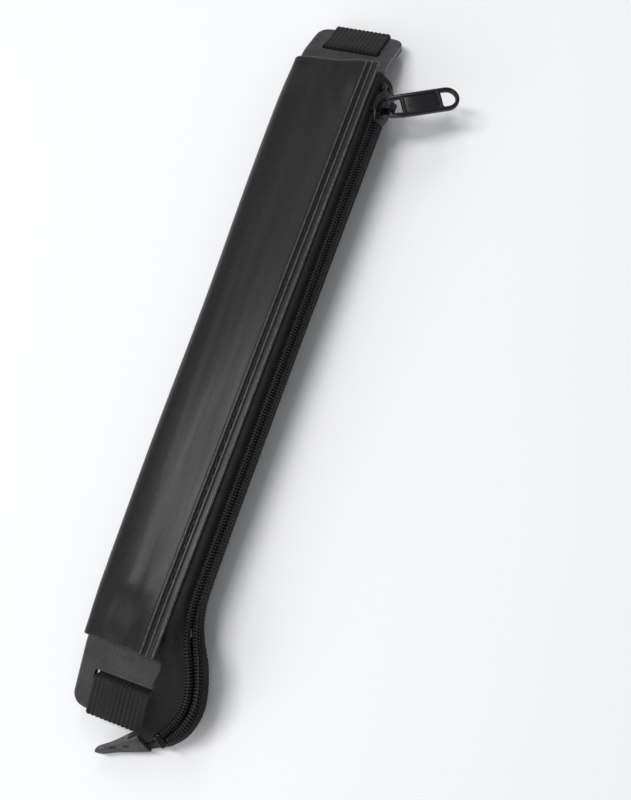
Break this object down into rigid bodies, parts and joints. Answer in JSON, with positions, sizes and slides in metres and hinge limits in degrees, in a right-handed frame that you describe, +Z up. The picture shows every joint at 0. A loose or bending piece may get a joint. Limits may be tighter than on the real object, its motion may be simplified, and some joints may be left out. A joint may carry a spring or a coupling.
{
  "type": "fountain pen case",
  "caption": "Slim black leather fountain pen pouch with a zipper along one side and an elastic band on its back plate for strapping to a notebook.",
  "frame": {"origin": "middle of the underside of the elastic band's outer run, which is what the case lies on", "axes": "+Y along the pouch towards the closed end of the zipper, +Z up out of the front panel, +X towards the zipper"},
  "size_m": [0.0616, 0.2619, 0.0222],
  "materials": {
    "leather": "smooth satin, finely grained",
    "stiffener": "plain board, sealed inside",
    "lining": "thin woven cloth",
    "tape": "herringbone weave",
    "coil": "satin nylon coil",
    "thread": "waxed thread",
    "stop_metal": "black, satin",
    "slider_metal": "black, glossy",
    "pull_metal": "black, glossy",
    "elastic": "ribbed knitted elastic"
  },
  "bodies": {
    "case": {"rear_skin": "leather", "front_skin": "leather", "plate_stiffener": "stiffener", "front_panel": "leather", "pocket_lining": "lining", "top_hem": "leather", "bottom_hem": "leather", "zipper_tape_front": "tape", "zipper_tape_back": "tape", "coil_front": "coil", "coil_back": "coil", "coil_cord_front": "thread", "coil_cord_back": "thread", "top_stop_front": "stop_metal", "top_stop_back": "stop_metal", "bottom_stop": "stop_metal", "end_tab": "leather", "elastic_band": "elastic", "band_splice": "elastic", "edge_stitches": "thread", "tuck_stitches": "thread", "tape_stitches": "thread", "top_hem_stitches": "thread", "bottom_hem_stitches": "thread", "splice_stitches": "thread"},
    "slider": {"slider_body": "slider_metal", "slider_bail": "slider_metal"},
    "pull": {"pull_tab": "pull_metal"}
  },
  "joints": [
    {"name": "slider_travel", "type": "slide", "parent": "case", "child": "slider", "axis": [-0.0209, -0.9998, 0], "range_m": [0, 0.158]},
    {"name": "pull_swing", "type": "hinge", "parent": "slider", "child": "pull", "pos_m": [0.02366, 0.08842, 0.0194], "axis": [0.5, -0.866, 0], "range_deg": [-10, 110]}
  ]
}
